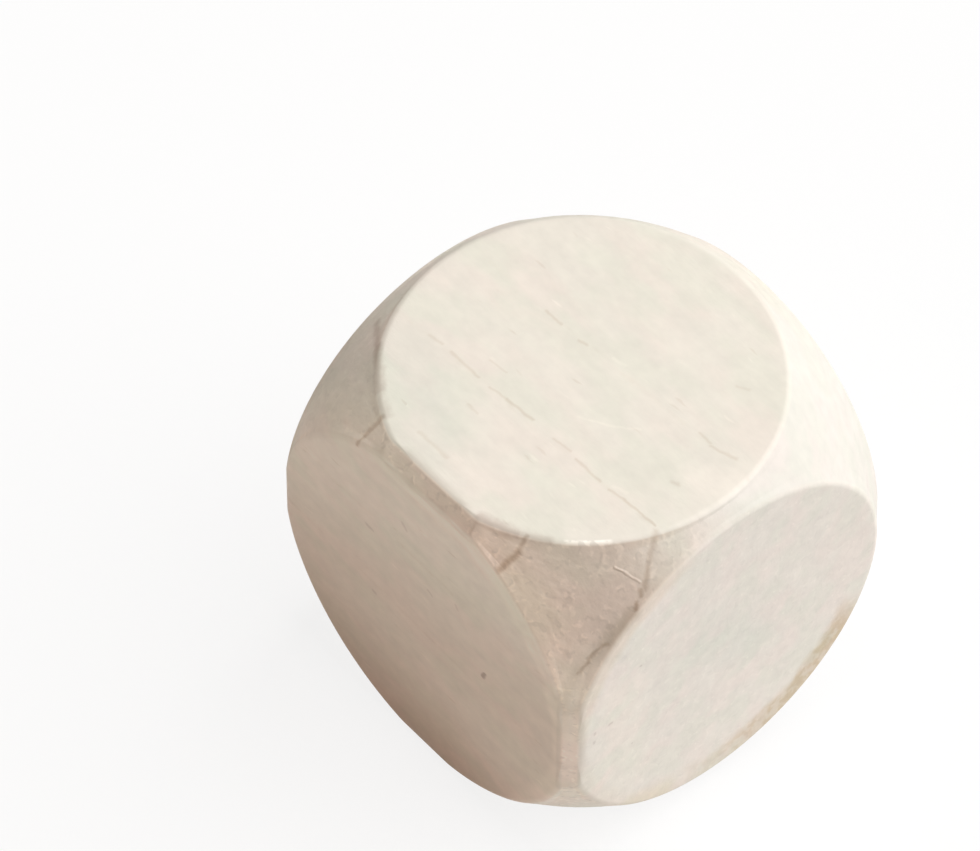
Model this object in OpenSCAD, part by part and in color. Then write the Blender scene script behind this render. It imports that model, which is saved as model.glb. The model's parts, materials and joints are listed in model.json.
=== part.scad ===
// Blank wooden cube with ball-rounded corners, made from one piece of pale hardwood.
// It is a sawn block with lightly eased edges whose corners are turned down to a ball.
// The ball leaves a round flat on every face.
// X runs to the right along the grain, Y to the back and Z up.
// The origin is the middle of the face that the cube stands on.

/* [Cube] */
// Side of the cube, from one flat face to the opposite one
side = 16; // [15.6:0.1:18]
// Radius that eases the block's own edges before its corners are turned down
edge_r = 0.5; // [0.2:0.05:0.6]

/* [Rounding] */
// Diameter of the ball that the corners are turned down to
ball_d = 21.7; // [20:0.1:22]
// How far the ball's centre lies off the middle of the cube, towards the front face
ball_shift = 0.45; // [0:0.05:0.5]
// Radius that eases the rim of each flat face
rim_r = 0.3; // [0.15:0.05:0.4]
// Angle of the faint edge at which the eased rim meets the ball
rim_edge = 10; // [6:1:20]

/* [Hidden] */
$fn = 180;

half = side / 2;
ball_r = ball_d / 2;
ball_centre = [0, -ball_shift, half];

// Each face as the turn that brings +Z to its outward normal, and its distance from the ball's centre
faces = [
    [[0, 0, 0], half],
    [[180, 0, 0], half],
    [[0, 90, 0], half],
    [[0, -90, 0], half],
    [[90, 0, 0], half - ball_shift],
    [[-90, 0, 0], half + ball_shift],
];

// The turns that bring the four upright edges of the block to its edges along each axis
edge_turns = [
    [0, 0, 0],
    [90, 0, 0],
    [0, 90, 0],
];

// Distance of a rim's centre line from the ball's centre, from the angle at which the two round surfaces cross
rim_reach = sqrt(pow(ball_r, 2) + pow(rim_r, 2) - 2 * ball_r * rim_r * cos(rim_edge));

// Radius of the flat that an eased rim leaves on a face at this depth from the ball's centre
function flat_radius(depth) = sqrt(pow(rim_reach, 2) - pow(depth - rim_r, 2));

// Section of what the easing takes off a sharp rim, as radius and height above the rim's centre line
module rim_waste(depth) {
    past = 2 * rim_r;
    turn = atan2(flat_radius(depth), depth - rim_r);
    difference() {
        polygon([
            [0, 0],
            [0, past],
            [past * tan(turn / 2), past],
            [past * sin(turn), past * cos(turn)],
        ]);
        circle(r = rim_r);
    }
}

// Section of what the easing takes off a sharp edge, with the arc's middle at the origin
module edge_waste() {
    difference() {
        square(2 * edge_r);
        circle(r = edge_r);
    }
}

// What the easing takes off the four upright edges of a block about the origin
module edge_strips() {
    arc_middle = half - edge_r;
    for (corner = [0:90:270])
        rotate(corner)
            translate([arc_middle, arc_middle, 0])
                linear_extrude(2 * side, center = true)
                    edge_waste();
}

// Square block that the cube is made from, with eased edges
module block() {
    translate([0, 0, half])
        difference() {
            cube(side, center = true);
            for (turn = edge_turns)
                rotate(turn)
                    edge_strips();
        }
}

// Ball that takes the corners off the block
module ball() {
    translate(ball_centre)
        sphere(d = ball_d);
}

// Ring that eases the rim of a face above the ball's centre
module rim_ring(depth) {
    rotate_extrude()
        translate([flat_radius(depth), depth - rim_r])
            rim_waste(depth);
}

module wooden_cube() {
    color("blanchedalmond")
        difference() {
            intersection() {
                block();
                ball();
            }
            translate(ball_centre)
                for (face = faces)
                    rotate(face[0])
                        rim_ring(face[1]);
        }
}

wooden_cube();
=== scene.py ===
"""Blank wooden cube with ball-rounded corners: its wood, its light and its camera.

The shape rule and the wood are worked out in millimetres, and what stands in the scene is in metres.
"""

import json
import math

import bpy
from mathutils import Matrix, Vector


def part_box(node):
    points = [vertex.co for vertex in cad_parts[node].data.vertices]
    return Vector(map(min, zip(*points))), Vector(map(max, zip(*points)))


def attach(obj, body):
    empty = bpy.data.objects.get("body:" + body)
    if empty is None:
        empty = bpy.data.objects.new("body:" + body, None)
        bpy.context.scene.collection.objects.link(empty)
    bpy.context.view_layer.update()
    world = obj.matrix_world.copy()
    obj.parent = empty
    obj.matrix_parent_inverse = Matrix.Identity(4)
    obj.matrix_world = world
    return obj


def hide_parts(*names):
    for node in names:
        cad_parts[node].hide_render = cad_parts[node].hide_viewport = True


MM = 0.001

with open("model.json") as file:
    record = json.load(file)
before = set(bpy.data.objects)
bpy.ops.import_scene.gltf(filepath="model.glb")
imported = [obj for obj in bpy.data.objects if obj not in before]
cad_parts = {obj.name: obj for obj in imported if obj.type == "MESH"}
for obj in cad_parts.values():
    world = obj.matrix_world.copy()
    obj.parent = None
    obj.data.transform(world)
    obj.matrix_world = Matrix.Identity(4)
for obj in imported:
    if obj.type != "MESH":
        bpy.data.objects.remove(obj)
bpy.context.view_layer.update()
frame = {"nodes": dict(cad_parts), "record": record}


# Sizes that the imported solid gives

NODE = "wooden_cube"
BODY = "root"
LOW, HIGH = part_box(NODE)
MIDDLE = (LOW + HIGH) / 2
HALF = (HIGH.x - LOW.x) / 2 / MM
TOP_MOUNT = next(mount for mount in frame["record"]["mounts"] if mount["name"] == "top_face")
BALL_SHIFT = -TOP_MOUNT["pos_m"][1] / MM
BALL_CENTRE = MIDDLE / MM + Vector((0, -BALL_SHIFT, 0))
BALL_R = max((vertex.co / MM - BALL_CENTRE).length for vertex in frame["nodes"][NODE].data.vertices)


# Sizes of the finish, in millimetres

# Radius that eases the rims, and how much it wanders along them
RIM_R = 0.38
RIM_WANDER = 0.12
# Segments along each edge of the block, and the shares of a half face that the flat and its rim take
SEGMENTS = 128
FLAT_SHARE = 28 / 64
RIM_SHARE = 36 / 64
# Smallest angle of ball, in radians, that is left between a rim and the next face
BALL_LEAST = 0.002
# Radius that eases the block's own edges, where the ball leaves any of them
EDGE_R = 0.5
# The front flat's edges with the top and the right flat are rubbed down further: the direction that this
# faces, as its share forwards and sideways, and how far its surface lies from the cube's middle
WORN_FRONT, WORN_SIDE = 0.719, 0.695
WORN_REACH = 10.895
# Growth rings, each as its height, measured as z less y where x is 0, and its strength
RINGS = (
    (22.8, 0.3),
    (19.3, 1.0),
    (15.3, 0.9),
    (11.4, 0.35),
    (7.6, 0.4),
    (3.9, 0.8),
    (0.1, 0.5),
    (-3.8, 0.8),
)
# Half width of a ring's line, how fast the rings drift up along the grain, and how far they wander
RING_WIDTH = 0.12
RING_DRIFT = 0.04
RING_WANDER = 0.08
RING_JITTER = 0.07

# Marks on the corners, each as its two ends, its half width and its strength
RING_CRACKS = (
    # The highest ring has opened at both ends of the strip between the top and the front flat
    ((-3.3, -7.0, 15.9), (-3.6, -8.0, 14.9), 0.16, 0.75),
    ((4.0, -6.6, 15.9), (4.1, -7.1, 15.5), 0.15, 0.7),
    ((4.1, -7.1, 15.5), (3.9, -7.8, 14.9), 0.22, 1.0),
    # The next one crosses the near corner, down to the edge between the front and the right flat
    ((6.85, -3.1, 16.0), (7.4, -3.9, 15.2), 0.20, 0.50),
    ((7.4, -3.9, 15.2), (7.7, -4.3, 14.6), 0.18, 0.65),
    ((7.65, -4.45, 14.55), (7.7, -4.55, 14.4), 0.16, 0.8),
    ((7.8, -4.75, 14.2), (7.85, -4.85, 14.1), 0.16, 0.9),
    ((7.75, -6.1, 13.0), (7.6, -6.6, 12.65), 0.14, 0.65),
    ((7.6, -6.6, 12.65), (7.55, -6.9, 12.3), 0.15, 0.75),
    ((7.55, -6.9, 12.3), (7.5, -7.2, 11.9), 0.13, 0.60),
)
# Darker places beside the cracks, and at the right end of the strip above the front flat
RING_SHADES = (
    ((7.85, -5.0, 13.9), (7.75, -6.2, 13.0), 0.52, 1.0),
    ((7.75, -6.2, 13.0), (7.5, -7.2, 12.0), 0.50, 0.6),
    ((7.5, -7.2, 12.0), (7.4, -7.8, 10.8), 0.42, 0.5),
    ((2.0, -7.7, 15.5), (3.7, -7.3, 15.4), 0.55, 0.2),
)
# Painted shade along parts of the top flat's rim, which is drawn darker there
RIM_PAINTED_SHADES = (
    ((-7.1, -4.1, 15.35), (-5.95, -5.05, 15.85), 0.30, 0.8),
    ((-5.95, -5.05, 15.85), (-4.25, -6.35, 15.95), 0.32, 1.0),
    ((-4.25, -6.35, 15.95), (-3.2, -6.85, 15.9), 0.26, 0.6),
    ((2.3, -7.35, 15.95), (3.7, -6.85, 15.95), 0.32, 0.9),
    ((3.7, -6.85, 15.95), (4.7, -6.15, 15.95), 0.28, 0.6),
)
# A pale and a tan patch on the end grain
PALE_PATCH = (
    ((8.0, -5.6, 9.5), (8.0, -5.2, 4.5), 2.0, 1.0),
)
TAN_PATCH = (
    ((8.0, -5.2, 1.9), (8.0, -3.5, 1.4), 1.0, 1.0),
)
# A lifted fibre on the near corner
FIBRES = (
    ((6.75, -4.85, 15.3), (7.1, -4.6, 15.1), 0.09, 1.0),
    ((7.1, -4.6, 15.1), (7.5, -4.35, 14.8), 0.08, 0.7),
)
# Streaks on the top flat, most of them where one of two growth rings comes up to it
STREAKS = (
    ((-5.0, -3.4, 16.0), (-4.4, -3.3, 16.0), 0.12, 0.35),
    ((-3.9, -3.3, 16.0), (-2.4, -3.3, 16.0), 0.14, 0.45),
    ((-1.8, -3.3, 16.0), (-1.0, -3.2, 16.0), 0.12, 0.40),
    ((-1.0, -3.2, 16.0), (0.3, -3.1, 16.0), 0.14, 0.60),
    ((1.4, -3.1, 16.0), (2.2, -3.0, 16.0), 0.12, 0.40),
    ((2.6, -3.1, 16.0), (3.9, -3.1, 16.0), 0.12, 0.50),
    ((4.4, -3.1, 16.0), (5.0, -3.0, 16.0), 0.10, 0.50),
    ((5.0, -3.0, 16.0), (6.6, -2.9, 16.0), 0.10, 0.65),
    ((-3.1, 0.5, 16.0), (-2.3, 0.5, 16.0), 0.14, 0.45),
    ((-1.3, 0.5, 16.0), (-1.0, 0.6, 16.0), 0.16, 0.50),
    ((4.6, 1.0, 16.0), (5.2, 1.0, 16.0), 0.12, 0.40),
    ((5.3, 0.9, 16.0), (6.3, 1.2, 16.0), 0.14, 0.45),
    ((-2.7, -2.5, 16.0), (-1.9, -2.4, 16.0), 0.10, 0.30),
    ((-1.9, -6.5, 16.0), (-0.4, -6.5, 16.0), 0.13, 0.35),
    ((-1.7, -4.4, 16.0), (-1.2, -4.4, 16.0), 0.11, 0.30),
    ((3.9, 3.4, 16.0), (4.3, 3.6, 16.0), 0.12, 0.30),
    ((5.6, -1.2, 16.0), (5.8, -1.1, 16.0), 0.14, 0.40),
)
# Pale flecks and a pale scratch on the top flat
PALE_STREAKS = (
    ((0.1, 0.9, 16.0), (0.6, 1.0, 16.0), 0.16, 1.0),
    ((-2.75, -2.4, 16.0), (-2.65, -2.4, 16.0), 0.16, 0.9),
    ((4.4, -2.9, 16.0), (4.9, -2.7, 16.0), 0.13, 0.8),
    ((1.2, -1.8, 16.0), (1.6, -1.6, 16.0), 0.11, 0.6),
    ((1.6, -1.6, 16.0), (2.4, -1.1, 16.0), 0.12, 0.9),
    ((2.4, -1.1, 16.0), (3.1, -0.5, 16.0), 0.12, 0.8),
)
# A paler patch of the top flat, beside its rim
TOP_PATCH = (
    ((6.2, -0.4, 16.0), (7.2, 0.6, 15.95), 1.1, 1.0),
)
# A duller patch at the top flat's near left side, and one in the middle of the end grain
DULL_PATCH = (
    ((-5.2, -4.2, 16.0), (-1.6, -6.3, 16.0), 2.0, 1.0),
    ((8.0, -1.5, 9.5), (8.0, 0.5, 7.5), 2.6, 0.9),
)
# The part of the top flat's rim that is rubbed shiny, with a coat and a smoother surface, and a paler
# colour that is a painted highlight
SHINE = (
    ((5.25, -5.6, 16.0), (6.0, -4.75, 16.0), 0.38, 1.0),
)
# Specks on the front and the right flat
SPECKS = (
    ((3.29, -8.0, 7.97), (3.41, -8.0, 8.24), 0.18, 1.0),
    ((-3.1, -8.0, 10.6), (-2.8, -8.0, 10.6), 0.17, 0.35),
    ((-1.1, -8.0, 12.7), (-0.9, -8.0, 12.5), 0.15, 0.30),
    ((-2.8, -8.0, 6.9), (-2.7, -8.0, 6.9), 0.17, 0.30),
    ((0.3, -8.0, 10.1), (0.5, -8.0, 10.0), 0.15, 0.30),
    ((1.8, -8.0, 10.8), (1.9, -8.0, 10.6), 0.15, 0.25),
    ((8.0, -4.65, 10.6), (8.0, -4.65, 10.6), 0.09, 0.40),
    ((8.0, -6.0, 8.3), (8.0, -6.1, 8.3), 0.10, 0.40),
    ((8.0, -4.95, 6.1), (8.0, -4.95, 6.1), 0.09, 0.35),
    ((8.0, -6.8, 8.4), (8.0, -6.8, 8.3), 0.08, 0.35),
    ((8.0, -6.8, 7.9), (8.0, -6.8, 7.8), 0.08, 0.35),
)
# The stain along the right flat's lower rim: its inner and outer radius, and its two ends as angles
STAIN_INNER, STAIN_OUTER = 5.9, 7.6
STAIN_START, STAIN_END = math.radians(-18), math.radians(-120)


class Value:
    """A node socket in an expression: each operator adds the node that works it out."""

    def __init__(self, graph, socket):
        self.graph = graph
        self.socket = socket

    def __add__(self, other):
        return self.graph.math("ADD", self, other)

    def __radd__(self, other):
        return self.graph.math("ADD", other, self)

    def __sub__(self, other):
        return self.graph.math("SUBTRACT", self, other)

    def __rsub__(self, other):
        return self.graph.math("SUBTRACT", other, self)

    def __mul__(self, other):
        return self.graph.math("MULTIPLY", self, other)

    def __rmul__(self, other):
        return self.graph.math("MULTIPLY", other, self)

    def __truediv__(self, other):
        return self.graph.math("DIVIDE", self, other)

    def __rtruediv__(self, other):
        return self.graph.math("DIVIDE", other, self)

    def __neg__(self):
        return self.graph.math("MULTIPLY", self, -1)

    def __gt__(self, other):
        return self.graph.math("GREATER_THAN", self, other)


class Graph:
    """A node tree with the few ways in which this script adds to it."""

    def __init__(self, tree):
        self.tree = tree

    def node(self, kind, settings=None, inputs=None, output=0):
        """Adds a node: first its settings, then the values or links of its sockets, by name or number."""
        made = self.tree.nodes.new(kind)
        for name, value in (settings or {}).items():
            setattr(made, name, value)
        for key, value in (inputs or {}).items():
            self.feed(made.inputs[key], value)
        return Value(self, made.outputs[output])

    def feed(self, socket, value):
        """Links a value to a socket, or sets the socket to a plain number, vector or colour."""
        if isinstance(value, Value):
            self.tree.links.new(value.socket, socket)
        elif socket.type in ("VECTOR", "RGBA") and isinstance(value, (int, float)):
            socket.default_value = (value,) * len(socket.default_value)
        else:
            socket.default_value = value

    def math(self, operation, *terms, output=0):
        """Adds a Math node, or a Vector Math node where a term is a vector or a colour."""
        kind = "ShaderNodeVectorMath" if any(map(is_vector, terms)) else "ShaderNodeMath"
        return self.node(kind, {"operation": operation}, dict(enumerate(terms)), output)

    def split(self, vector):
        """The three parts of a vector."""
        made = self.node("ShaderNodeSeparateXYZ", None, {"Vector": vector})
        return [Value(self, socket) for socket in made.socket.node.outputs]

    def join(self, x, y, z):
        """A vector of three parts."""
        return self.node("ShaderNodeCombineXYZ", None, {"X": x, "Y": y, "Z": z})

    def scaled(self, vector, factor):
        """A vector times a number."""
        return self.node("ShaderNodeVectorMath", {"operation": "SCALE"}, {0: vector, "Scale": factor})

    def absolute(self, term):
        return self.math("ABSOLUTE", term)

    def least(self, a, b):
        return self.math("MINIMUM", a, b)

    def most(self, a, b):
        return self.math("MAXIMUM", a, b)

    def dot(self, a, b):
        return self.math("DOT_PRODUCT", a, b, output="Value")

    def length(self, vector):
        return self.math("LENGTH", vector, output="Value")

    def ramp(self, value, start, end):
        """Runs smoothly from 0 at start to 1 at end, or the other way down where end is lower."""
        inputs = {"Value": value, "From Min": start, "From Max": end}
        return self.node("ShaderNodeMapRange", {"interpolation_type": "SMOOTHSTEP"}, inputs)

    def noise(self, point, scale, detail=2.0, roughness=0.5):
        """Smooth noise about 0.5, with scale in waves for each millimetre."""
        inputs = {"Vector": point, "Scale": scale, "Detail": detail, "Roughness": roughness}
        return self.node("ShaderNodeTexNoise", None, inputs)

    def wander(self, point, scale, detail=1.0):
        """Smooth noise from about -1 to 1."""
        return self.noise(point, scale, detail) * 2 - 1

    def cells(self, point, scale, output="Distance"):
        """Distance to the nearest of the points scattered one in each cell, or that cell's own colour."""
        return self.node("ShaderNodeTexVoronoi", None, {"Vector": point, "Scale": scale}, output)

    def blend(self, share, a, b):
        """Mixes two colours."""
        return self.node("ShaderNodeMix", {"data_type": "RGBA"}, {0: share, 6: a, 7: b}, 2)


def is_vector(term):
    """Whether a term of an expression has three parts."""
    if isinstance(term, Value):
        return term.socket.type in ("VECTOR", "RGBA")
    return isinstance(term, (tuple, Vector))


def tone(red, green, blue):
    """A colour as seen on a screen, from 0 to 255, as the linear values that a node takes."""
    shares = (part / 255 for part in (red, green, blue))
    return (*(part / 12.92 if part <= 0.04045 else ((part + 0.055) / 1.055) ** 2.4 for part in shares), 1.0)


# The wood's pattern, which the shape and the material share. A whole number that is added to a point
# only takes its noise from another place, so that two patterns don't follow each other.

def along_grain(g, point, stretch):
    """The point with its distance along the grain shortened, so that a pattern there is drawn out."""
    return point * (1 / stretch, 1.0, 1.0)


def ring_height(g, point):
    """Height of a point across the growth rings, which stand at 45 degrees and run along the grain."""
    x, y, z = g.split(point)
    bend = g.wander(along_grain(g, point, 3), 0.45) * RING_WANDER
    jitter = g.wander(along_grain(g, point, 2), 1.8, 2.0) * RING_JITTER
    return z - y + x * RING_DRIFT + bend + jitter


def marks(g, point, places, soft=0.3):
    """How strongly a point lies on any of these marks, from the marks' middle lines outwards."""
    point = g.math("NORMALIZE", point - tuple(BALL_CENTRE)) * BALL_R
    found = 0
    for *ends, width, strength in places:
        start, end = ((Vector(corner) - BALL_CENTRE).normalized() * BALL_R for corner in ends)
        line = end - start
        off = point - tuple(start)
        if line.length > 0:
            along = g.dot(off, tuple(line)) / line.length_squared
            along = g.least(g.most(along, 0), 1)
            off = off - g.scaled(tuple(line), along)
        found = g.most(found, g.ramp(g.length(off), width, width * soft) * strength)
    return found


def shaken(g, point, way=0.14):
    """The point moved about a little, so that a mark placed by it looks torn."""
    shift = g.node("ShaderNodeTexNoise", None, {"Vector": point, "Scale": 2.6, "Detail": 3.0}, "Color")
    return point + (shift - 0.5) * way * 2


def ring_lines(g, height, width):
    """Lines of this half width, in mm, along the growth rings, as strong as each ring is."""
    lines = 0
    for level, strength in RINGS:
        gap = g.absolute(height - level) * math.sqrt(0.5)
        lines = g.most(lines, g.ramp(gap, width, 0.0) * strength)
    return lines


def leather(g, point):
    """Height of the rough turned skin of the corners, from about 0.2 to 0.8."""
    return g.noise(along_grain(g, point, 1.8), 2.6, 3.0, 0.62)


def behind(g, point):
    """1 on the right-hand part of the back, where the corners are smoother and take a lighter tint as
    painted light instead of the front corners' painted shade, and 0 in front.
    """
    x, y, z = g.split(point)
    return g.ramp(y, -4.5, 1.0) * g.ramp(x, 0.0, 4.0)


# The block

def turned_point(g, size):
    """Where a vertex of the plain block goes, its outward direction, and how far it is off its flat."""
    half = size["Side"] / 2
    ball_r = size["Ball radius"]
    centre = g.join(0, -size["Ball shift"], 0)

    place = g.node("GeometryNodeInputPosition") / half
    across = g.absolute(place)
    near_x, near_y, near_z = (part > 0.9999 for part in g.split(across))
    is_z = near_z
    is_y = near_y * (1 - is_z)
    is_x = near_x * (1 - is_z) * (1 - is_y)
    normal = g.math("SIGN", place) * g.join(is_x, is_y, is_z)
    sideways = place - normal
    side_x, side_y, side_z = g.split(g.absolute(sideways))
    reach = g.most(g.most(side_x, side_y), side_z)
    edge = g.math("TANGENT", sideways / g.most(reach, 0.0001) * (math.pi / 4))

    depth = half - g.dot(centre, normal)
    foot = centre - normal * g.dot(centre, normal)
    outward = edge * half - foot
    span = g.length(outward)
    outward = outward / span
    edge_angle = g.math("ARCTAN2", span, depth)

    ease = size["Rim"] + g.wander(outward + normal * 3, 1.3, 2.0) * size["Rim wander"]
    level = g.math("COSINE", edge_angle - BALL_LEAST)
    ease = g.most(g.least(ease, (depth - ball_r * level) / (1 - level)), 0)
    rim_angle = g.math("ARCCOSINE", (depth - ease) / (ball_r - ease))

    on_flat = g.least(reach / FLAT_SHARE, 1)
    on_rim = g.math("MULTIPLY", reach - FLAT_SHARE, 1 / (RIM_SHARE - FLAT_SHARE))
    on_rim = g.least(g.most(on_rim, 0), 1)
    on_ball = g.least(g.most((reach - RIM_SHARE) / (1 - RIM_SHARE), 0), 1)
    rim_turn = rim_angle * on_rim
    ball_turn = rim_angle + (edge_angle - rim_angle) * on_ball
    rim_sine = g.math("SINE", rim_angle)
    rim_cosine = g.math("COSINE", rim_angle)

    radius = (ball_r - ease) * rim_sine * on_flat + ease * g.math("SINE", rim_turn)
    radius = radius + ball_r * (g.math("SINE", ball_turn) - rim_sine)
    height = depth - ease + ease * g.math("COSINE", rim_turn)
    height = height + ball_r * (g.math("COSINE", ball_turn) - rim_cosine)

    turn = rim_turn + ball_turn - rim_angle
    facing = normal * g.math("COSINE", turn) + outward * g.math("SINE", turn)
    point = centre + normal * height + outward * radius
    off_flat = g.least(on_rim * 0.1 + on_ball * 3, 1)
    point = eased_edges(g, point, size)
    off_flat = off_flat * g.ramp(worn_excess(g, point), 0.0, -0.3)
    return worn_edges(g, point), facing, off_flat


def worn_excess(g, point):
    """How far a point about the cube's middle stands out of the front flat's worn edges."""
    x, y, z = g.split(point)
    return g.most(x, z) * WORN_SIDE - y * WORN_FRONT - WORN_REACH


def worn_edges(g, point):
    """Rubs down the front flat's edges with the top and the right flat."""
    x, y, z = g.split(point)
    above = z > x
    way = g.join((1 - above) * WORN_SIDE, -WORN_FRONT, above * WORN_SIDE)
    return point - g.most(worn_excess(g, point), 0) * way


def eased_edges(g, point, size):
    """Rounds the block's own edges, where the ball leaves any of them."""
    past = g.most(g.absolute(point) - (size["Side"] / 2 - size["Edge"]), 0)
    pull = g.most(1 - size["Edge"] / g.most(g.length(past), size["Edge"]), 0)
    return point - g.math("SIGN", point) * past * pull


def block_shape():
    """Geometry nodes that pull a block in to flats, eased rims and a ball, and roughen its corners."""
    tree = bpy.data.node_groups.new("turned block", "GeometryNodeTree")
    g = Graph(tree)
    tree.interface.new_socket("Geometry", in_out="OUTPUT", socket_type="NodeSocketGeometry")
    values = {
        "Side": 2 * HALF,
        "Ball radius": BALL_R,
        "Ball shift": BALL_SHIFT,
        "Rim": RIM_R,
        "Rim wander": RIM_WANDER,
        "Edge": EDGE_R,
        "Corner roughness": 0.04,
        "Corner hollows": 0.05,
        "Flat hollows": 0.008,
        "Crack depth": 0.02,
    }
    sockets = {}
    for name in values:
        sockets[name] = tree.interface.new_socket(name, in_out="INPUT", socket_type="NodeSocketFloat")
    wood_socket = tree.interface.new_socket("Wood", in_out="INPUT", socket_type="NodeSocketMaterial")
    given = tree.nodes.new("NodeGroupInput")
    size = {name: Value(g, given.outputs[name]) for name in values}

    rows = SEGMENTS + 1
    sides = g.join(size["Side"], size["Side"], size["Side"])
    counts = {"Size": sides, "Vertices X": rows, "Vertices Y": rows, "Vertices Z": rows}
    block = g.node("GeometryNodeMeshCube", None, counts)

    point, facing, off_flat = turned_point(g, size)
    place = point + tuple(MIDDLE / MM)
    groove = marks(g, shaken(g, place), RING_CRACKS, 0.1) * size["Crack depth"]
    skin = (1 - leather(g, place)) * size["Corner roughness"] * (1 - behind(g, place) * 0.7)
    hollow = g.noise(along_grain(g, place, 1.5), 0.35)
    inward = (skin + groove + hollow * size["Corner hollows"]) * off_flat
    inward = inward + hollow * size["Flat hollows"]
    place = (place - facing * inward) * MM

    moved = g.node("GeometryNodeSetPosition", None, {"Geometry": block, "Position": place})
    smooth = g.node("GeometryNodeSetShadeSmooth", None, {"Geometry": moved})
    real = g.node("GeometryNodeRealizeInstances", None, {"Geometry": smooth})
    wood_in = Value(g, given.outputs["Wood"])
    done = g.node("GeometryNodeSetMaterial", None, {"Geometry": real, "Material": wood_in})
    tree.links.new(done.socket, tree.nodes.new("NodeGroupOutput").inputs[0])
    return tree, {sockets[name].identifier: value for name, value in values.items()}, wood_socket.identifier


def make_cube(wood):
    """The cube as one plain mesh, made by the geometry nodes."""
    tree, inputs, wood_input = block_shape()
    source = bpy.data.objects.new("block", bpy.data.meshes.new("block"))
    bpy.context.scene.collection.objects.link(source)
    modifier = source.modifiers.new("turned block", "NODES")
    modifier.node_group = tree
    for identifier, value in inputs.items():
        modifier[identifier] = value
    modifier[wood_input] = wood
    depsgraph = bpy.context.evaluated_depsgraph_get()
    mesh = bpy.data.meshes.new_from_object(source.evaluated_get(depsgraph))
    bpy.data.objects.remove(source)
    mesh.name = "cube_wood"
    cube = bpy.data.objects.new("cube_wood", mesh)
    bpy.context.scene.collection.objects.link(cube)
    return cube


# The wood

CREAM = tone(235, 230, 219)
PINKISH = tone(239, 229, 219)
OLIVE = tone(231, 229, 216)
# What each kind of mark does to the wood's colour
RING_TINT = (0.78, 0.72, 0.66, 1.0)
CRACK_TINT = (0.70, 0.63, 0.57, 1.0)
SHADE_TINT = (0.80, 0.79, 0.76, 1.0)
SPECK_TINT = (0.62, 0.57, 0.55, 1.0)
STAIN_TINT = (0.77, 0.68, 0.54, 1.0)
FIBRE_TINT = (1.17, 1.17, 1.17, 1.0)
# Painted shade darkens parts of the top flat's rim, and a painted highlight makes its polished part paler
RIM_PAINTED_SHADE_TINT = (0.74, 0.69, 0.67, 1.0)
SHINE_PAINTED_HIGHLIGHT_TINT = (1.20, 1.20, 1.20, 1.0)
# The paler marks of the top flat, and the duller patches of the top flat and the end grain
STREAK_TINT = (1.06, 1.06, 1.06, 1.0)
PATCH_TINT = (1.07, 1.055, 1.06, 1.0)
DULL_TINT = (0.94, 0.97, 0.965, 1.0)
# The corners are darker than the flats, partly in their own tone and partly as painted shade towards the
# front, and the ones at the back take a lighter tint as painted light
CORNER_TONE_AND_SHADE_TINT = (0.765, 0.69, 0.655, 1.0)
BACK_CORNER_LIT_TINT = (0.92, 0.925, 0.955, 1.0)
# Painted light: the upright edge between the front and the right flat is made paler
EDGE_PAINTED_LIGHT_TINT = (1.19, 1.14, 1.15, 1.0)
# The end grain is made paler as painted light, has a pinker band along its front rim that is also painted
# shade, and has a pale and a tan patch
END_PAINTED_LIGHT_TINT = (1.03, 1.025, 1.055, 1.0)
END_RIM_PINK_AND_SHADE_TINT = (0.97, 0.915, 0.87, 1.0)
PALE_TINT = (1.03, 1.035, 1.02, 1.0)
TAN_TINT = (0.98, 0.97, 0.90, 1.0)
# Painted shade and light: the front flat is darker, less so towards its top, and most of all at its lower
# left
FRONT_PAINTED_SHADE = (1.00, 0.915, 0.875, 1.0)
FRONT_PAINTED_LIGHT = (1.16, 1.24, 1.27, 1.0)
FOOT_PAINTED_SHADE = (0.80, 0.73, 0.70, 1.0)
PLAIN = (1.0, 1.0, 1.0, 1.0)

# How far each pattern takes the brightness up or down, as a share
PINK_SHARE, OLIVE_SHARE = 0.6, 0.8
FIBRE_VARIES, BROAD_VARIES, MOTTLE_VARIES = 0.03, 0.10, 0.12
RING_LINE_SHARE, DARK_DASH_SHARE, PALE_DASH_LIFT = 0.75, 0.32, 0.07
# The curls' pale strokes are a painted highlight, and the dark strokes beside them and the pits are painted
# shade
PAINTED_CURL_HIGHLIGHT, PAINTED_CURL_SHADE, PAINTED_PIT_SHADE, SKIN_VARIES = 0.13, 0.11, 0.05, 0.12
# The first is painted light along the front flat's upper right border
BORDER_PAINTED_LIGHT, BLOTCH_VARIES = 0.10, 0.12
# How rough the end grain looks beside the corners
END_ROUGH = 0.3
# Height of each part of the fine relief, in millimetres
FUZZ_HEIGHT, GRAIN_HEIGHT, SKIN_HEIGHT, FIBRE_HEIGHT = 0.006, 0.003, 0.018, 0.03
# How the surface scatters light: bare wood, how much rougher the corners are and how much smoother the
# rubbed rim is, and the polish on it
WOOD_ROUGHNESS, CORNER_ROUGHER, RUBBED_SMOOTHER = 0.62, 0.05, 0.42
WOOD_IOR = 1.45
COAT_ROUGHNESS = 0.28


def new_material(name):
    """An empty node material and its graph."""
    material = bpy.data.materials.new(name)
    material.use_nodes = True
    material.node_tree.nodes.clear()
    return material, Graph(material.node_tree)


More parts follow.
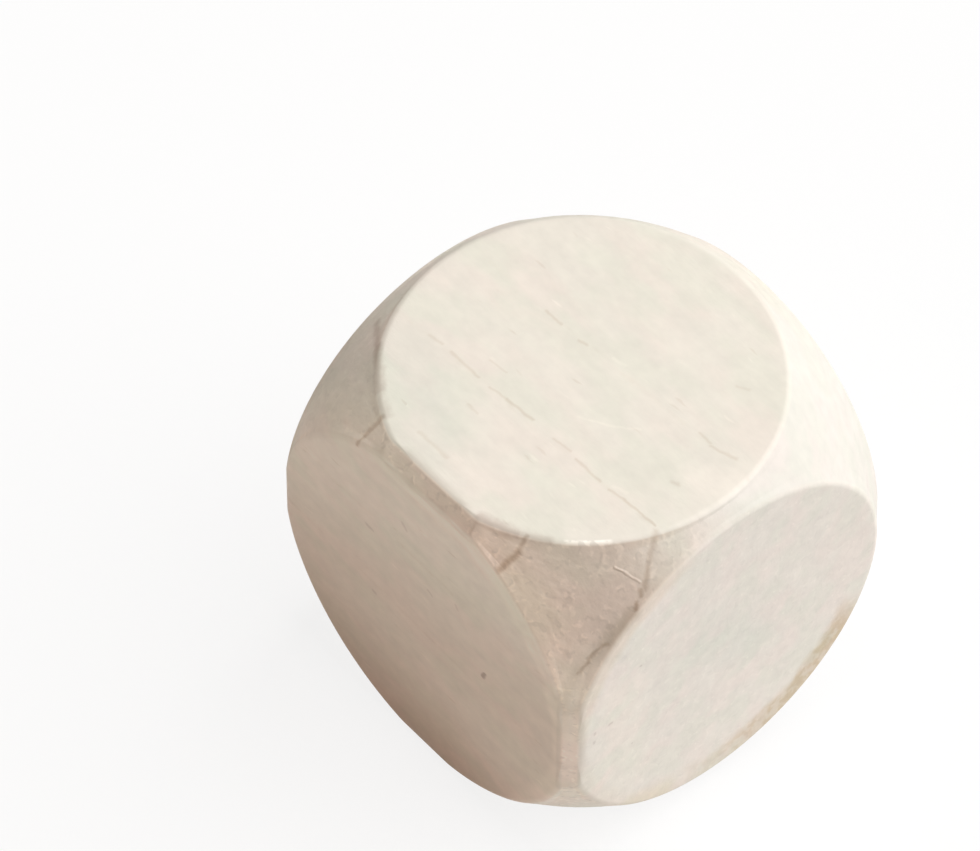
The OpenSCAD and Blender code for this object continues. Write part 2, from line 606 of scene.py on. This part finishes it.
def base_colour(g, point):
    """Cream with soft pinkish and olive patches, drawn out along the grain."""
    along = along_grain(g, point, 1.8)
    pink = g.ramp(g.noise(along, 0.45, 2.0), 0.40, 0.62)
    olive = g.ramp(g.noise(along + 17, 0.60, 2.0), 0.42, 0.64)
    colour = g.blend(pink * PINK_SHARE, CREAM, PINKISH)
    colour = g.blend(olive * OLIVE_SHARE, colour, OLIVE)
    fibre = g.noise(along_grain(g, point, 6), 4.0, 3.0, 0.6)
    broad = g.noise(along_grain(g, point, 3), 1.2, 2.0)
    mottle = g.noise(along_grain(g, point, 1.4), 2.4, 2.0)
    fine = (fibre - 0.5) * FIBRE_VARIES + (broad - 0.5) * BROAD_VARIES
    return colour * (1 + fine + (mottle - 0.5) * MOTTLE_VARIES)


def tinted(g, colour, tint, share):
    """The colour taken towards the colour times this tint."""
    return colour * g.blend(share, PLAIN, tint)


def dashes(g, point):
    """Short lines along the grain, dark ones and pale ones, scattered over the flats."""
    spread = g.join(1 / 1.6, 3.2, 3.2) * (point + g.wander(point, 1.5) * 0.15)
    dash = g.ramp(g.cells(spread, 1.0), 0.24, 0.08)
    lot = g.split(g.cells(spread, 1.0, "Color"))[0]
    return dash * g.ramp(lot, 0.86, 0.98), dash * g.ramp(lot, 0.14, 0.02)


def curls(g, point, level):
    """Short curled strokes, along the lines at which a smooth noise passes this level."""
    bed = g.noise(along_grain(g, point, 1.3), 2.4, 1.0, 0.4)
    part = g.ramp(g.noise(point + 31, 3.0, 1.0), 0.50, 0.62)
    return g.ramp(g.absolute(bed - level), 0.14, 0.0) * part


def stain(g, point):
    """Brown stain along the lower rim of the right flat."""
    off = point - (HALF, -BALL_SHIFT, HALF)
    x, y, z = g.split(off)
    radius = g.length(off * (0.0, 1.0, 1.0)) + g.wander(point, 0.9, 3.0) * 0.5
    angle = g.math("ARCTAN2", z, y)
    band = g.ramp(radius, STAIN_INNER, STAIN_INNER + 0.6) * g.ramp(radius, STAIN_OUTER + 0.3, STAIN_OUTER)
    reach = g.ramp(angle, STAIN_END, STAIN_END / 2) * g.ramp(angle, STAIN_START, STAIN_START * 2)
    patchy = 0.6 + 0.4 * g.ramp(g.noise(point, 2.2, 2.0), 0.4, 0.6)
    return band * reach * patchy * (x > -0.6)


class Place:
    """Where a point of the wood lies: the values that the parts of its pattern share."""

    def __init__(self, g):
        self.point = g.node("ShaderNodeTexCoord", output="Object") / MM
        normal = g.node("ShaderNodeTexCoord", output="Normal")
        self.middle = self.point - tuple(MIDDLE / MM)
        far_x, far_y, far_z = g.split(g.absolute(self.middle))
        # How far the point lies inside the block's nearest face, and what that makes it part of
        self.depth = HALF - g.most(g.most(far_x, far_y), far_z)
        self.corner = g.ramp(self.depth, 0.03, 0.14)
        self.flat = 1 - self.corner
        self.rim = g.ramp(self.depth, 0.006, 0.03) * g.ramp(self.depth, 0.16, 0.08)
        # How far the surface faces along each axis
        self.end_share, self.front_share, self.top_share = g.split(normal * normal)
        self.x, self.y, self.z = g.split(self.point)
        self.end_flat = self.flat * self.end_share
        # Towards the near upright edge, down from the top, and towards the back
        self.fore = g.ramp(self.x - self.y + self.z * 0.5, 10.0, 13.0)
        self.low = g.ramp(self.z, 14.0, 9.5)
        self.back = behind(g, self.point)
        # The point moved about, for marks with a torn outline and for ones with a fine one
        self.torn = shaken(g, self.point)
        self.trace = shaken(g, self.point, 0.07)


def grain_lines(g, colour, at):
    """The colour with growth rings and dashes on the flats that run along the grain."""
    broken = g.ramp(g.noise(at.point + 4, 0.95, 2.0), 0.44, 0.58)
    spotty = 0.5 + 0.5 * g.ramp(g.noise(at.point + 11, 2.6, 1.0), 0.50, 0.66)
    along = at.flat * (1 - at.end_share)
    line = ring_lines(g, ring_height(g, at.point), RING_WIDTH) * broken * spotty * along
    # The top flat has streaks of its own, and the front flat hardly shows its rings
    line = line * (1 - at.front_share * 0.7) * (1 - at.top_share * (at.z > HALF) * 0.8)
    colour = tinted(g, colour, RING_TINT, line * RING_LINE_SHARE)
    dark_dash, pale_dash = dashes(g, at.point)
    colour = tinted(g, colour, RING_TINT, dark_dash * along * DARK_DASH_SHARE)
    return colour * (1 + pale_dash * at.flat * PALE_DASH_LIFT)


def rough_skin(g, colour, at, skin, rough):
    """The colour of the rough places, with the skin, the curls drawn as painted highlight and painted
    shade, and the pits darkened as painted shade.
    """
    curl_highlight = curls(g, at.point, 0.53)
    curl_shade = curls(g, at.point, 0.43)
    pit_shade = g.ramp(g.noise(along_grain(g, at.point, 1.3) + 21, 4.2, 2.0), 0.42, 0.30)
    # Painted highlight and painted shade of the curls, and painted shade in the pits
    relief_light_and_shade = curl_highlight * PAINTED_CURL_HIGHLIGHT - curl_shade * PAINTED_CURL_SHADE - pit_shade * PAINTED_PIT_SHADE
    return colour * (1 + (relief_light_and_shade + (skin - 0.5) * SKIN_VARIES) * rough)


def corner_tints(g, colour, at):
    """The colour darkened on the front corners, partly in their own tone and partly as painted shade,
    lighter at the back as painted light, and paler on the near upright edge as painted light.
    """
    shade_share = 0.23 + 0.77 * g.ramp(at.x - at.y, 2.0, 12.0)
    shade_share = shade_share * (1 - 0.35 * g.ramp(at.y, -4.9, -2.9))
    # Painted shade on the front corners, beside their own darker tone, and a lighter tint of painted light
    # on the back ones
    colour = tinted(g, colour, CORNER_TONE_AND_SHADE_TINT, at.corner * shade_share * (1 - at.back) * (1 - at.low))
    colour = tinted(g, colour, BACK_CORNER_LIT_TINT, at.corner * at.back)
    # Painted light on the near upright edge
    edge_light_share = g.ramp(at.z, 11.5, 8.5) * (0.3 + 0.7 * g.ramp(at.z, 3.5, 7.5))
    return tinted(g, colour, EDGE_PAINTED_LIGHT_TINT, at.corner * at.fore * edge_light_share)


def end_grain(g, colour, at):
    """The colour of the end grain, paler as painted light, with a pinker band of painted shade along its
    front rim, and its patches.
    """
    # Painted light makes the end grain paler
    colour = tinted(g, colour, END_PAINTED_LIGHT_TINT, at.end_flat)
    off_axis = g.length(g.join(at.y + BALL_SHIFT, at.z - HALF, 0))
    band = g.ramp(off_axis + g.wander(at.point, 1.5) * 0.15, 6.45, 7.05)
    band = band * g.ramp(at.y, -1.5, -4.0) * (0.4 + 0.6 * g.ramp(at.z, 7.0, 11.0))
    band = band * g.ramp(at.end_share, 0.3, 0.7) * g.ramp(at.depth, 0.4, 0.1)
    # A pinker band along the front rim, which is also painted shade
    colour = tinted(g, colour, END_RIM_PINK_AND_SHADE_TINT, band)
    colour = tinted(g, colour, PALE_TINT, marks(g, at.point, PALE_PATCH, 0.2) * at.end_flat)
    return tinted(g, colour, TAN_TINT, marks(g, at.point, TAN_PATCH, 0.2) * at.end_flat)


def front_flat(g, colour, at):
    """The colour of the front flat, with painted shade and light: darker below, paler above and along its
    upper right border.
    """
    forwards = g.ramp(-at.y, 5.5, 7.8)
    front = forwards * g.ramp(at.front_share + at.corner * (1 - at.low), 0.2, 0.8)
    slope = at.x * -0.12 - (at.z - HALF) * 0.95 + g.wander(at.point, 0.4) * 0.6
    rise = at.x * -0.2 + (at.z - HALF)
    # Painted shade towards the front flat's lower left
    foot = g.ramp(slope, 2.0, 7.4) * forwards * g.ramp(at.front_share, 0.3, 0.8)
    # Painted shade over the front flat, lifted by painted light towards its top
    colour = tinted(g, colour, FRONT_PAINTED_SHADE, front)
    colour = tinted(g, colour, FRONT_PAINTED_LIGHT, front * g.ramp(rise, -1.0, 6.0))
    colour = tinted(g, colour, FOOT_PAINTED_SHADE, foot)

    worn = g.ramp(worn_excess(g, at.middle), -0.12, -0.04)
    # Painted light along the front flat's upper right border
    border_light = g.most(g.length(g.join(at.x, 0, at.z - HALF)), at.z - HALF + 0.4)
    border_light = g.ramp(border_light + g.wander(at.point, 1.1) * 0.2, 6.95, 7.4)
    border_light = border_light * g.ramp(at.x + (at.z - HALF) * 0.6, -1.0, 5.0)
    blotch = g.noise(along_grain(g, at.point, 1.4) + 5, 1.6, 3.0)
    colour = colour * (1 + front * (1 - worn) * border_light * BORDER_PAINTED_LIGHT)
    return colour * (1 + front * (blotch - 0.5) * BLOTCH_VARIES)


def placed_marks(g, colour, at):
    """The colour with every mark that has a place of its own."""
    places = (
        (STREAKS, at.trace, 0.0, RING_TINT),
        (PALE_STREAKS, at.trace, 0.0, STREAK_TINT),
        (TOP_PATCH, at.torn, 0.1, PATCH_TINT),
        (RING_SHADES, at.torn, 0.0, SHADE_TINT),
        # Painted shade along parts of the top flat's rim
        (RIM_PAINTED_SHADES, at.torn, 0.0, RIM_PAINTED_SHADE_TINT),
        (RING_CRACKS, at.torn, 0.0, CRACK_TINT),
        (SPECKS, at.trace, 0.2, SPECK_TINT),
    )
    for spots, point, soft, tint in places:
        colour = tinted(g, colour, tint, marks(g, point, spots, soft))
    colour = tinted(g, colour, DULL_TINT, marks(g, at.torn, DULL_PATCH, 0.1) * at.flat)
    return tinted(g, colour, STAIN_TINT, stain(g, at.point))


def wood_material():
    """Pale close-grained wood, smooth on its flats and rough where the corners are turned."""
    material, g = new_material("pale wood")
    at = Place(g)
    skin = leather(g, at.point)
    rough = at.corner * (0.35 + at.fore * 0.65) * (1 - at.back) + at.end_flat * END_ROUGH
    fibre = marks(g, at.trace, FIBRES, 0.0)
    # The rubbed part of the rim: its coat and smoother surface are real, and its paler colour is a painted
    # highlight
    polish_and_highlight = at.rim * marks(g, at.point, SHINE) * g.ramp(g.noise(at.point + 7, 4.0, 2.0), 0.40, 0.52)

    colour = grain_lines(g, base_colour(g, at.point), at)
    colour = corner_tints(g, colour, at)
    colour = end_grain(g, colour, at)
    colour = rough_skin(g, colour, at, skin, rough)
    colour = front_flat(g, colour, at)
    colour = placed_marks(g, colour, at)
    colour = tinted(g, colour, FIBRE_TINT, fibre)
    # Painted highlight on the polished part of the rim
    colour = tinted(g, colour, SHINE_PAINTED_HIGHLIGHT_TINT, polish_and_highlight)

    fuzz = g.noise(along_grain(g, at.point, 2.5), 8.0, 3.0, 0.65)
    grain = g.noise(along_grain(g, at.point, 6), 4.0, 3.0, 0.6)
    relief = fuzz * FUZZ_HEIGHT + grain * GRAIN_HEIGHT
    relief = relief + skin * rough * SKIN_HEIGHT + fibre * FIBRE_HEIGHT
    bump = g.node("ShaderNodeBump", None, {"Height": relief, "Distance": MM, "Strength": 1.0})

    shader = g.node("ShaderNodeBsdfPrincipled", None, {
        "Base Color": colour,
        "Roughness": WOOD_ROUGHNESS - polish_and_highlight * RUBBED_SMOOTHER + at.corner * CORNER_ROUGHER,
        "IOR": WOOD_IOR,
        "Coat Weight": polish_and_highlight,
        "Coat Roughness": COAT_ROUGHNESS,
        "Normal": bump,
    })
    finish_material(g, shader)
    return material


def finish_material(g, shader):
    """Ends a material's tree."""
    out = g.tree.nodes.new("ShaderNodeOutputMaterial")
    g.tree.links.new(shader.socket, out.inputs["Surface"])


# Floor, light and camera

# The floor's colour as the camera sees it and as it lights the cube, and how much of it glows white
FLOOR_PAINT = (0.95, 0.95, 0.95, 1.0)
FLOOR_BOUNCE = (0.85, 0.84, 0.83, 1.0)
FLOOR_GLOW = 0.84
FLOOR_REACH = 0.6
# The even light from all around
FILL = (0.085, 0.068, 0.052, 1.0)


def straight_view(g):
    """1 for the camera's own rays and for reflections of the background, and 0 for light on the cube."""
    path = g.node("ShaderNodeLightPath").socket.node
    camera, glossy, clear = (
        Value(g, path.outputs[name])
        for name in ("Is Camera Ray", "Is Glossy Ray", "Is Transmission Ray")
    )
    return g.most(g.most(camera, glossy), clear)


def make_floor():
    """A pale floor that looks nearly white and keeps the cube's shadow."""
    material, g = new_material("pale floor")
    glow = g.node("ShaderNodeEmission", None, {"Color": (1, 1, 1, 1), "Strength": 1.0})
    paint = g.node("ShaderNodeBsdfDiffuse", None, {"Color": FLOOR_PAINT})
    shown = g.node("ShaderNodeMixShader", None, {0: FLOOR_GLOW, 1: paint, 2: glow})
    bounce = g.node("ShaderNodeBsdfDiffuse", None, {"Color": FLOOR_BOUNCE})
    finish_material(g, g.node("ShaderNodeMixShader", None, {0: straight_view(g), 1: bounce, 2: shown}))
    corners = [(x * FLOOR_REACH, y * FLOOR_REACH, 0) for x, y in ((-1, -1), (1, -1), (1, 1), (-1, 1))]
    mesh = bpy.data.meshes.new("floor")
    mesh.from_pydata(corners, [], [(0, 1, 2, 3)])
    mesh.materials.append(material)
    floor = bpy.data.objects.new("floor", mesh)
    bpy.context.scene.collection.objects.link(floor)


def make_world():
    """Even fill light, seen as plain white."""
    world = bpy.data.worlds.new("fill")
    world.use_nodes = True
    world.node_tree.nodes.clear()
    g = Graph(world.node_tree)
    fill = g.node("ShaderNodeBackground", None, {"Color": FILL, "Strength": 1.0})
    white = g.node("ShaderNodeBackground", None, {"Color": (1, 1, 1, 1), "Strength": 1.0})
    background = g.node("ShaderNodeMixShader", None, {0: straight_view(g), 1: fill, 2: white})
    out = world.node_tree.nodes.new("ShaderNodeOutputWorld")
    world.node_tree.links.new(background.socket, out.inputs["Surface"])
    bpy.context.scene.world = world


LAMP_DISTANCE = 0.5


def make_lamp(name, direction, size, level, colour=(1, 1, 1)):
    """A round soft lamp that faces the cube and, at level 1, lights a white surface to plain white."""
    data = bpy.data.lights.new(name, "AREA")
    data.shape = "DISK"
    data.size = size
    data.energy = level * math.pi ** 2 * (LAMP_DISTANCE ** 2 + (size / 2) ** 2)
    data.color = colour
    lamp = bpy.data.objects.new(name, data)
    towards = Vector(direction).normalized()
    lamp.location = MIDDLE + towards * LAMP_DISTANCE
    lamp.rotation_euler = towards.to_track_quat("Z", "Y").to_euler()
    bpy.context.scene.collection.objects.link(lamp)


# The camera's azimuth, elevation and roll in degrees, and its distance from the middle of the cube
CAMERA_AZIMUTH = 47.53
CAMERA_ELEVATION = 53.12
CAMERA_ROLL = 1.45
CAMERA_DISTANCE = 262.7 * MM
CAMERA_LENS = 264.2
# How far the view's centre lies to the left of the middle of the cube, and above it
AIM_LEFT = 3.637 * MM
AIM_UP = 2.886 * MM


def make_camera():
    """The camera at the viewing angle of the picture."""
    azimuth, elevation, roll = map(math.radians, (CAMERA_AZIMUTH, CAMERA_ELEVATION, CAMERA_ROLL))
    level = math.cos(elevation)
    back = Vector((math.sin(azimuth) * level, -math.cos(azimuth) * level, math.sin(elevation)))
    right = Vector((math.cos(azimuth), math.sin(azimuth), 0))
    up = back.cross(right)
    right, up = (
        right * math.cos(roll) + up * math.sin(roll),
        up * math.cos(roll) - right * math.sin(roll),
    )
    place = MIDDLE + back * CAMERA_DISTANCE
    aim = MIDDLE - right * AIM_LEFT + up * AIM_UP
    back = (place - aim).normalized()
    right = up.cross(back).normalized()
    up = back.cross(right)
    data = bpy.data.cameras.new("camera")
    data.lens = CAMERA_LENS
    data.clip_start = CAMERA_DISTANCE / 10
    data.clip_end = CAMERA_DISTANCE * 100
    camera = bpy.data.objects.new("camera", data)
    camera.matrix_world = Matrix.Translation(place) @ Matrix((right, up, back)).transposed().to_4x4()
    bpy.context.scene.collection.objects.link(camera)
    bpy.context.scene.camera = camera


bpy.context.scene.view_settings.view_transform = "Standard"
make_camera()
make_world()
make_lamp("key", direction=(0.36, 0.55, 0.76), size=0.8, level=1.0)
make_lamp("top", direction=(0.0, 0.0, 1.0), size=0.08, level=0.12)
make_lamp("front", direction=(-0.10, -0.9, 0.42), size=0.3, level=0.10, colour=(1.0, 0.68, 0.46))
make_floor()

cube = make_cube(wood_material())
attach(cube, BODY)
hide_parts(NODE)
